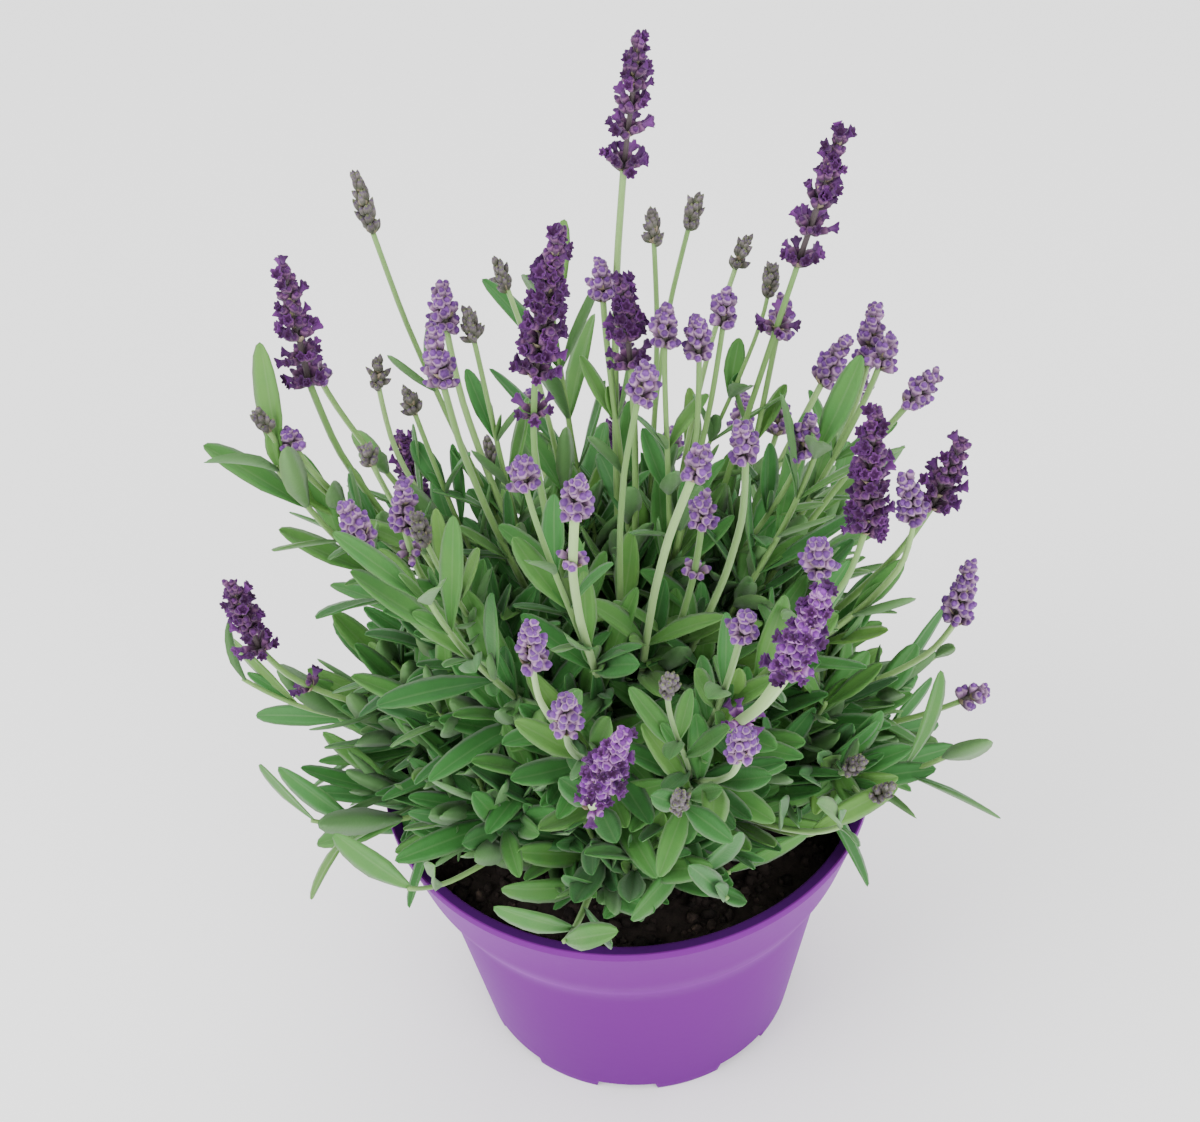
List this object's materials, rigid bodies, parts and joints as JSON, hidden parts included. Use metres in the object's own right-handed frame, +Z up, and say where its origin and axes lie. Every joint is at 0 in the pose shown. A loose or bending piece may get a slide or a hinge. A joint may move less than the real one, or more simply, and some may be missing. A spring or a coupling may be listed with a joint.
{
  "type": "potted lavender plant",
  "caption": "Bushy lavender plant with upright flower spikes and narrow leaves, growing from a woody crown in soil in a round tapered plastic nursery pot.",
  "frame": {"origin": "middle of the pot's flat underside, where it stands", "axes": "+Z up along the pot's axis; -Y is the front of the plant"},
  "size_m": [0.254, 0.242, 0.3674],
  "materials": {
    "pot_plastic": "satin lilac-purple moulded plastic, darker at the lip",
    "potting_soil": "dark moist peat-based potting soil, crumbly",
    "woody_bark": "rough grey-brown bark",
    "leaf_green": "matt sage-green leaves with fine down, paler midrib and stems",
    "open_flowers": "deep violet open flowers on a pale green square stem",
    "lilac_buds": "downy lilac-grey buds on a pale green square stem",
    "young_heads": "young grey-green flower head on a pale green square stem"
  },
  "bodies": {
    "root": {"flower_stalk_01": "open_flowers", "flower_stalk_02": "open_flowers", "flower_stalk_03": "open_flowers", "flower_stalk_04": "open_flowers", "flower_stalk_05": "open_flowers", "flower_stalk_06": "open_flowers", "flower_stalk_07": "open_flowers", "flower_stalk_08": "open_flowers", "flower_stalk_09": "open_flowers", "flower_stalk_10": "open_flowers", "flower_stalk_11": "open_flowers", "flower_stalk_12": "open_flowers", "flower_stalk_13": "lilac_buds", "flower_stalk_14": "lilac_buds", "flower_stalk_15": "lilac_buds", "flower_stalk_16": "lilac_buds", "flower_stalk_17": "lilac_buds", "flower_stalk_18": "lilac_buds", "flower_stalk_19": "lilac_buds", "flower_stalk_20": "lilac_buds", "flower_stalk_21": "lilac_buds", "flower_stalk_22": "lilac_buds", "flower_stalk_23": "lilac_buds", "flower_stalk_24": "lilac_buds", "flower_stalk_25": "lilac_buds", "flower_stalk_26": "lilac_buds", "flower_stalk_27": "lilac_buds", "flower_stalk_28": "lilac_buds", "flower_stalk_29": "lilac_buds", "flower_stalk_30": "lilac_buds", "flower_stalk_31": "lilac_buds", "flower_stalk_32": "lilac_buds", "flower_stalk_33": "lilac_buds", "flower_stalk_34": "lilac_buds", "flower_stalk_35": "lilac_buds", "flower_stalk_36": "young_heads", "flower_stalk_37": "young_heads", "flower_stalk_38": "young_heads", "flower_stalk_39": "young_heads", "flower_stalk_40": "young_heads", "flower_stalk_41": "young_heads", "leafy_shoot_01": "leaf_green", "leafy_shoot_02": "leaf_green", "leafy_shoot_03": "leaf_green", "leafy_shoot_04": "leaf_green", "leafy_shoot_05": "leaf_green", "leafy_shoot_06": "leaf_green", "leafy_shoot_07": "leaf_green", "leafy_shoot_08": "leaf_green", "leafy_shoot_09": "leaf_green", "leafy_shoot_10": "leaf_green", "leafy_shoot_11": "leaf_green", "leafy_shoot_12": "leaf_green", "leafy_shoot_13": "leaf_green", "leafy_shoot_14": "leaf_green", "leafy_shoot_15": "leaf_green", "leafy_shoot_16": "leaf_green", "pot": "pot_plastic", "potting_soil": "potting_soil", "woody_crown": "woody_bark"}
  },
  "joints": []
}
